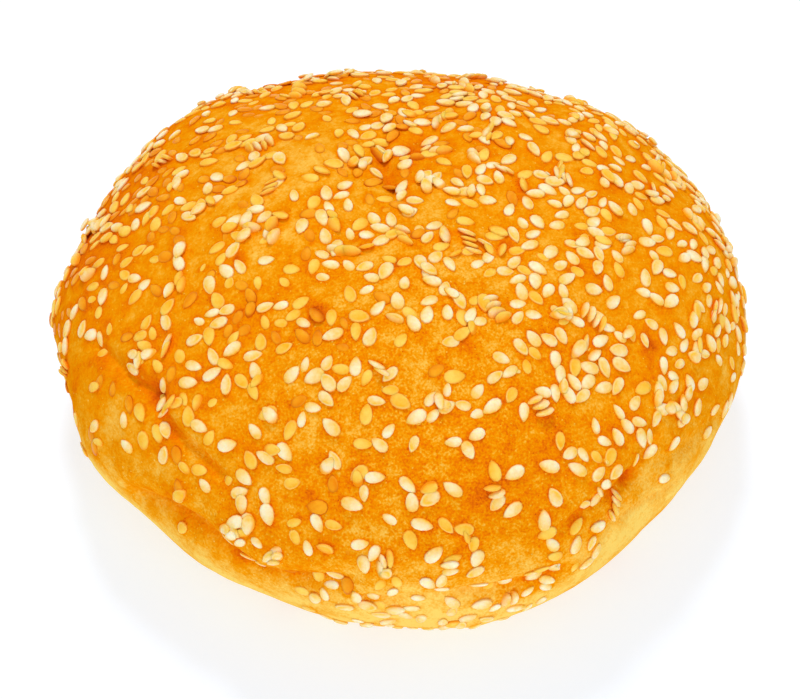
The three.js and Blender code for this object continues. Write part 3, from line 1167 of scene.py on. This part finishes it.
@dataclass
class SeedPieces:
    """The meshes of the seeds, one for each look."""

    scatter: SeedScatter
    crust: Crust
    sides: int = 12
    rings: int = 6
    taper: float = 0.2
    tip_narrow: float = 0.26
    tip_thin: float = 0.3
    flatness: float = 0.7

    def shape(self, ball: Vector, seed: Seed) -> Vector:
        """Shapes a point of the ball into a flat drop.

        Args:
            ball: The point on the ball.
            seed: The seed, for its size.

        Returns:
            The point in the seed's own frame, in millimetres.
        """
        half_length, half_width, half_thick = self.scatter.half_sizes(seed)
        ahead = max(ball.x, 0.0)
        narrow = 1.0 - self.taper * ball.x - self.tip_narrow * ahead**3
        thin = 1.0 - self.tip_thin * ahead**2
        flat = math.copysign(abs(ball.z) ** self.flatness, ball.z)
        return Vector((ball.x * half_length, ball.y * half_width * narrow, flat * half_thick * thin))

    def build(self, kind: SeedKind, seeds: Sequence[Seed]) -> bpy.types.Object:
        """Joins the seeds of one look, each shaped from a ball with few faces, into one piece.

        Args:
            kind: The look.
            seeds: All the seeds.

        Returns:
            The piece as an object, in metres in the model's frame.
        """
        ball = bmesh.new()
        bmesh.ops.create_uvsphere(ball, u_segments=self.sides, v_segments=self.rings, radius=1.0)
        pattern = bpy.data.meshes.new("seed_pattern")
        ball.to_mesh(pattern)
        ball.free()
        joined = bmesh.new()
        grain_layer = joined.verts.layers.float_vector.new("grain")
        tone_layer = joined.verts.layers.float.new("tone")
        clear_layer = joined.verts.layers.float.new("clear")
        count = len(pattern.vertices)
        chosen = [seed for seed in seeds if seed.kind is kind]
        for _ in chosen:
            joined.from_mesh(pattern)
        joined.verts.ensure_lookup_table()
        for index, seed in enumerate(chosen):
            for vert in joined.verts[index * count : (index + 1) * count]:
                vert[grain_layer] = vert.co
                vert[tone_layer] = seed.tone
                vert.co = seed.matrix @ self.shape(vert.co, seed)
                vert[clear_layer] = (vert.co - seed.laid.base).dot(seed.laid.up) / seed.laid.height
        bmesh.ops.recalc_face_normals(joined, faces=joined.faces[:])
        self.crust.to_frame(joined)
        bpy.data.meshes.remove(pattern)
        piece = link_shape(joined, f"seeds_{kind.value}")
        log.info("%s: %d seeds", piece.name, len(chosen))
        return piece


class Value:
    """A socket of a shader that can be reckoned with as a number can."""

    def __init__(self, shader: Shader, socket: bpy.types.NodeSocket) -> None:
        """Wraps the socket."""
        self.shader = shader
        self.socket = socket

    def _math(self, operation: str, *parts: Value | float) -> Value:
        """Adds a Math node for an operation on values."""
        return self.shader.node("ShaderNodeMath", {"operation": operation}, dict(enumerate(parts)))

    def __add__(self, other: Value | float) -> Value:
        """Adds."""
        return self._math("ADD", self, other)

    def __radd__(self, other: float) -> Value:
        """Adds to a number."""
        return self._math("ADD", other, self)

    def __sub__(self, other: Value | float) -> Value:
        """Takes away."""
        return self._math("SUBTRACT", self, other)

    def __rsub__(self, other: float) -> Value:
        """Takes this from a number."""
        return self._math("SUBTRACT", other, self)

    def __mul__(self, other: Value | float) -> Value:
        """Multiplies."""
        return self._math("MULTIPLY", self, other)

    def __abs__(self) -> Value:
        """Drops the sign."""
        return self._math("ABSOLUTE", self)

    def __pow__(self, power: float) -> Value:
        """Raises to a power."""
        return self._math("POWER", self, power)

    def wave(self, shape: str) -> Value:
        """Gives the cosine or sine of an angle in radians."""
        return self._math(shape, self)

    def step(self, low: float, high: float) -> Value:
        """Gives a smooth step from 0 at low to 1 at high."""
        settings = {"interpolation_type": "SMOOTHSTEP"}
        inputs = {0: self, 1: low, 2: high, 3: 0.0, 4: 1.0}
        return self.shader.node("ShaderNodeMapRange", settings, inputs)


class Shader:
    """A material with one Principled surface and the nodes that feed it."""

    def __init__(self, name: str) -> None:
        """Starts an empty material of that name."""
        self.material = bpy.data.materials.new(name)
        self.material.use_nodes = True
        self.nodes = self.material.node_tree.nodes
        self.links = self.material.node_tree.links
        self.nodes.clear()
        self.surface = self.nodes.new("ShaderNodeBsdfPrincipled")
        output = self.nodes.new("ShaderNodeOutputMaterial")
        self.links.new(self.surface.outputs[0], output.inputs[0])

    def node(
        self,
        kind: str,
        settings: Mapping[str, object],
        inputs: Mapping[int | str, object],
        output: int | str = 0,
    ) -> Value:
        """Adds any node.

        Args:
            kind: The node's type.
            settings: Its settings, which are set first; "stops" are a colour ramp's places and colours.
            inputs: The values or links of its sockets.
            output: The socket that the node gives.

        Returns:
            The wanted output.
        """
        node = self.nodes.new(kind)
        for name, setting in settings.items():
            if name == "stops":
                self.set_stops(node.color_ramp, setting)
            else:
                setattr(node, name, setting)
        for key, given in inputs.items():
            self.feed(node.inputs[key], given)
        return Value(self, node.outputs[output])

    def feed(self, socket: bpy.types.NodeSocket, given: object) -> None:
        """Links a value to a socket, or sets it.

        Args:
            socket: The socket to feed.
            given: A Value, a number, a vector or a colour.
        """
        if isinstance(given, Value):
            self.links.new(given.socket, socket)
        else:
            socket.default_value = given

    @staticmethod
    def set_stops(ramp: bpy.types.ColorRamp, stops: Sequence[tuple[float, Tone]]) -> None:
        """Sets a colour ramp's stops.

        Args:
            ramp: The ramp.
            stops: Each stop's place and colour, from low to high.
        """
        while len(ramp.elements) < len(stops):
            ramp.elements.new(1.0)
        for element, (place, tint) in zip(ramp.elements, stops):
            element.position = place
            element.color = tint

    def ramp(self, value: Value, stops: Sequence[tuple[float, Tone]]) -> Value:
        """Turns a value into a colour by its stops."""
        return self.node("ShaderNodeValToRGB", {"stops": stops}, {0: value})

    def mix(self, mask: Value | float, low: object, high: object) -> Value:
        """Mixes two colours: low where the mask is 0, high where it is 1."""
        settings = {"data_type": "RGBA", "clamp_factor": True}
        return self.node("ShaderNodeMix", settings, {0: mask, 6: low, 7: high}, 2)

    def attribute(self, name: str, output: str = "Fac") -> Value:
        """Reads one of the mesh's own attributes."""
        return self.node("ShaderNodeAttribute", {"attribute_name": name}, {}, output)

    def place(self) -> Value:
        """Gives the place on the object, in metres."""
        return self.node("ShaderNodeTexCoord", {}, {}, "Object")

    def noise(self, size: float, detail: float = 2.0, roughness: float = 0.5) -> Value:
        """Gives noise round 0.5, with blotches of a size in millimetres and finer layers in them."""
        inputs = {"Vector": self.place(), "Scale": 1.0 / (size * MM), "Detail": detail}
        return self.node("ShaderNodeTexNoise", {}, inputs | {"Roughness": roughness})

    def spots(self, size: float) -> Value:
        """Gives the distance to the nearest of many points that are a size in millimetres apart."""
        inputs = {"Vector": self.place(), "Scale": 1.0 / (size * MM)}
        return self.node("ShaderNodeTexVoronoi", {}, inputs, "Distance")

    def bump(self, height: Value, depth: float) -> None:
        """Gives the surface a fine relief from its height, 0 to 1, and its depth in millimetres."""
        inputs = {"Strength": 1.0, "Distance": depth * MM, "Height": height}
        self.feed(self.surface.inputs["Normal"], self.node("ShaderNodeBump", {}, inputs))

    def set_surface(self, **values: object) -> None:
        """Sets or feeds the surface's sockets, named with underscores for spaces."""
        for name, given in values.items():
            self.feed(self.surface.inputs[name.replace("_", " ").title().replace("Ior", "IOR")], given)


@dataclass(frozen=True)
class CrustFinish:
    """Baked crust: pale where it was shaded, golden on top, deep orange where it browned.

    Its tones are steps of baking, each at its place. Blotches, grain, specks, painted shade in the creases
    and the glaze round the seeds with its painted contact shade shift the baking, each by its own weight.
    Streaks and pale specks, which are partly painted glints, lessen it.
    """

    name: str = "baked_crust"
    pale: Tone = colour(252, 210, 102)
    cream: Tone = colour(250, 194, 80)
    light: Tone = colour(248, 181, 62)
    straw: Tone = colour(246, 166, 32)
    golden: Tone = colour(244, 156, 12)
    amber: Tone = colour(242, 146, 2)
    toasted: Tone = colour(240, 132, 2)
    deep: Tone = colour(232, 112, 6)
    brown: Tone = colour(208, 86, 9)
    darkest: Tone = colour(158, 54, 10)
    places: tuple[float, ...] = (0.0, 0.11, 0.21, 0.29, 0.35, 0.41, 0.5, 0.64, 0.82, 1.0)
    span: float = 0.8
    # The crease weight sets the painted shade in the creases, and the glaze weight the painted contact
    # shade round the seeds.
    crease_shade_weight: float = 0.24
    blotch_weight: float = 0.72
    mottle_weight: float = 0.74
    rough_mottle: float = 0.35
    grain_weight: float = 0.2
    rough_grain: float = 0.65
    among_weight: float = 0.05
    glaze_and_shade_weight: float = 0.12
    streak_weight: float = 0.05
    # The pale weight lightens the pale specks, which are crumbs and blisters and partly painted glints.
    speck_and_glint_weight: float = 0.32
    dark_weight: float = 0.4
    relief: float = 0.42
    roughness: float = 0.42

    def make(self) -> bpy.types.Material:
        """Makes the material.

        Returns:
            The finished material.
        """
        shader = Shader(self.name)
        blotch = shader.noise(size=5.0, detail=3.0, roughness=0.6)
        mottle = shader.noise(size=2.4, detail=4.0, roughness=0.8)
        grain = shader.noise(size=0.36, detail=1.0)
        streak = shader.noise(size=2.0, roughness=0.6)
        streak = (1.0 - abs(streak * 2.0 - 1.0)).step(0.86, 1.0)
        # Pale specks: crumbs and blisters, and partly painted glints.
        pale_specks_and_glints = (1.0 - shader.spots(1.1).step(0.06, 0.17)) * blotch.step(0.4, 0.56)
        dark_specks = (1.0 - shader.spots(0.8).step(0.05, 0.16)) * blotch.step(0.48, 0.6)
        # Painted contact shade: the crust is coloured darker just round the seeds, along with their glaze.
        contact = (shader.attribute("contact") * (0.6 + grain * 0.4)).step(0.1, 1.0)
        # Painted shade in the creases: the crease attribute colours the crust darker there.
        bake_and_shade = shader.attribute("bake_and_shade") + shader.attribute("crease") * self.crease_shade_weight
        rough = shader.attribute("rough")
        bake_and_shade = bake_and_shade + (blotch - 0.5) * self.blotch_weight
        bake_and_shade = bake_and_shade + (mottle - 0.5) * (self.mottle_weight + rough * self.rough_mottle)
        bake_and_shade = bake_and_shade + (grain - 0.5) * (self.grain_weight + rough * self.rough_grain)
        bake_and_shade = bake_and_shade + (shader.attribute("among") - 0.4) * self.among_weight
        bake_and_shade = bake_and_shade + contact * self.glaze_and_shade_weight - streak * self.streak_weight
        bake_and_shade = bake_and_shade - pale_specks_and_glints * self.speck_and_glint_weight + dark_specks * self.dark_weight
        tones = (self.pale, self.cream, self.light, self.straw, self.golden)
        tones += (self.amber, self.toasted, self.deep, self.brown, self.darkest)
        relief = blotch * 0.4 + mottle * 0.7 + grain * 0.2 + streak * 0.1 + pale_specks_and_glints * 0.15
        shader.bump(relief, self.relief)
        tint = shader.ramp(bake_and_shade * self.span, list(zip(self.places, tones)))
        shader.set_surface(base_color=tint, roughness=self.roughness, specular_ior_level=0.0)
        return shader.material


@dataclass(frozen=True)
class SeedFinish:
    """A sesame seed's skin, with a light rim round its face and a glazed edge where it meets the crust;
    that edge tone also paints warm bounce light and shade low on the seed.

    Toasting, clouding, rimming, edging and tipping say how much of each tone there is at the most, and
    glow how much light goes through the skin, to a depth in millimetres.
    """

    name: str
    heart: Tone
    toasted: Tone
    rim: Tone
    tip: Tone
    edge: Tone
    gloss: float
    toasting: float = 0.5
    clouding: float = 0.9
    rimming: float = 0.3
    edging: float = 0.92
    tipping: float = 0.6
    relief: float = 0.1
    roughness: float = 0.32
    glow: float = 0.4
    glow_depth: float = 0.4

    def make(self) -> bpy.types.Material:
        """Makes the material.

        Returns:
            The finished material.
        """
        shader = Shader(self.name)
        grain = shader.attribute("grain", "Vector")
        along = shader.node("ShaderNodeSeparateXYZ", {}, {0: grain}, "X")
        across = shader.node("ShaderNodeSeparateXYZ", {}, {0: grain}, "Y")
        clear = shader.attribute("clear")
        out = (along * along + across * across) ** 0.5
        tone = shader.attribute("tone")
        cloud = shader.noise(size=0.7)
        turn = tone * (2.0 * math.pi)
        lean = along * turn.wave("COSINE") + across * turn.wave("SINE")
        shade = 0.2 + tone * self.toasting + lean * self.toasting + out * out * 0.25
        shade = shade + (cloud - 0.5) * self.clouding
        body = shader.mix(shade, self.heart, self.toasted)
        ring = out.step(0.55, 0.85) * (1.0 - out.step(0.9, 0.99))
        rim = ring * (self.rimming + lean * self.rimming) * tone.step(0.2, 1.0)
        body = shader.mix(rim, body, self.rim)
        # Painted light: low on the seed, where it meets the crust, the edge tone stands for the glaze and
        # paints warm bounce light and shade.
        body = shader.mix((1.0 - clear.step(0.1, 0.8)) * self.edging, body, self.edge)
        body = shader.mix(along.step(0.65, 1.0) * self.tipping, body, self.tip)
        shader.bump(shader.noise(size=0.4) * 0.6 + ring * 0.4, self.relief)
        shader.set_surface(base_color=body, roughness=self.roughness, specular_ior_level=self.gloss)
        shader.set_surface(subsurface_weight=self.glow, subsurface_scale=self.glow_depth * MM)
        shader.set_surface(subsurface_radius=(0.9, 0.6, 0.2), specular_tint=colour(255, 232, 170))
        return shader.material


# The edge tones paint warm bounce light on the seeds' low sides; the glazed seeds' dark edge tone is also
# a painted contact shade.
SEED_FINISHES = {
    SeedKind.PALE: SeedFinish(
        "pale_sesame", gloss=0.05, heart=colour(255, 240, 200), toasted=colour(255, 198, 66),
        rim=colour(255, 243, 200), tip=colour(255, 210, 106), edge=colour(255, 172, 16),
    ),
    SeedKind.GOLDEN: SeedFinish(
        "golden_sesame", gloss=0.05, heart=colour(255, 214, 100), toasted=colour(254, 184, 42),
        rim=colour(255, 230, 146), tip=colour(254, 188, 66), edge=colour(250, 148, 6),
    ),
    SeedKind.GLAZED: SeedFinish(
        "glazed_sesame", gloss=0.06, heart=colour(250, 172, 34), toasted=colour(238, 138, 8),
        rim=colour(253, 180, 52), tip=colour(236, 126, 8), edge=colour(206, 86, 3),
    ),
}


@dataclass(frozen=True)
class Lamp:
    """A round lamp that shines on the bun: its place and width in metres, and its power in watts."""

    name: str
    place: tuple[float, float, float]
    size: float
    power: float


@dataclass
class Studio:
    """The floor, the light and the camera."""

    shift: Vector
    camera_pitch: float = 50.0
    camera_distance: float = 290.0
    camera_target: tuple[float, float, float] = (-0.1, 0.0, 11.42)
    lens: float = 76.2
    floor_size: float = 30.0
    floor_tint: Tone = colour(178, 190, 208)
    floor_glow: float = 0.56
    sky_strength: float = 0.57
    lamps: tuple[Lamp, ...] = (
        Lamp("key", (-0.05, 0.42, 0.8), 0.2, 3.15),
        Lamp("fill", (0.1, -0.96, 0.28), 1.9, 8.1),
    )

    def build_floor(self) -> bpy.types.Object:
        """Makes the pale floor.

        Returns:
            The floor.
        """
        plane = bmesh.new()
        bmesh.ops.create_grid(plane, x_segments=1, y_segments=1, size=self.floor_size / 2)
        floor = link_shape(plane, "floor")
        shader = Shader("pale_floor")
        shader.set_surface(base_color=self.floor_tint, roughness=0.9, specular_ior_level=0.1)
        shader.set_surface(emission_color=WHITE, emission_strength=self.floor_glow)
        floor.data.materials.append(shader.material)
        return floor

    def build_light(self) -> None:
        """Makes the soft sky, a key lamp behind the bun and a large fill lamp in front of it."""
        world = bpy.data.worlds.new("soft_sky")
        bpy.context.scene.world = world
        world.use_nodes = True
        background = world.node_tree.nodes["Background"]
        background.inputs["Color"].default_value = WHITE
        background.inputs["Strength"].default_value = self.sky_strength
        for lamp in self.lamps:
            light = bpy.data.lights.new(lamp.name, "AREA")
            light.shape = "DISK"
            light.size = lamp.size
            light.energy = lamp.power
            holder = bpy.data.objects.new(lamp.name, light)
            holder.location = Vector(lamp.place)
            holder.rotation_euler = (-holder.location).to_track_quat("-Z", "Y").to_euler()
            bpy.context.scene.collection.objects.link(holder)

    def build_camera(self) -> None:
        """Sets up the camera and the way that light becomes colour."""
        scene = bpy.context.scene
        pitch = math.radians(self.camera_pitch)
        ahead = Vector((0.0, math.cos(pitch), -math.sin(pitch)))
        target = Vector(self.camera_target) + self.shift
        data = bpy.data.cameras.new("camera")
        data.lens = self.lens
        data.sensor_width = 36.0
        data.clip_start = 0.01
        camera = bpy.data.objects.new("camera", data)
        camera.location = (target - self.camera_distance * ahead) * MM
        camera.rotation_euler = (math.pi / 2 - pitch, 0.0, 0.0)
        scene.collection.objects.link(camera)
        scene.camera = camera
        scene.view_settings.view_transform = "Standard"
        scene.view_settings.look = "None"


def main() -> None:
    """Builds the bun and its studio, and reports each piece."""
    logging.basicConfig(level=logging.INFO, format="%(name)s %(message)s")
    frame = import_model()

    roll = Roll()
    vertices = frame["nodes"]["bun"].data.vertices
    foot = [vertex.co for vertex in vertices if vertex.co.z < FOOT_LEVEL]
    shift = box_middle(foot, MM) - roll.foot_middle()
    log.info("shift of the roll into the frame: %.2f %.2f mm", shift.x, shift.y)

    crust_maker = Crust(roll, shift)
    crust = crust_maker.build()
    crust.data.materials.append(CrustFinish().make())
    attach(crust, "root")
    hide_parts("bun")
    log.info("crust: %d faces", len(crust.data.polygons))

    scatter = SeedScatter(roll, crust_maker.surface, random.Random(DICE_START))
    seeds = scatter.scatter()
    crust_maker.meet_seeds(crust, seeds)
    log.info("seeds: %d", len(seeds))
    pieces = SeedPieces(scatter, crust_maker)
    for kind in SeedKind:
        piece = pieces.build(kind, seeds)
        piece.data.materials.append(SEED_FINISHES[kind].make())
        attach(piece, "root")

    studio = Studio(shift)
    studio.build_floor()
    studio.build_light()
    studio.build_camera()


if __name__ == "__main__":
    main()
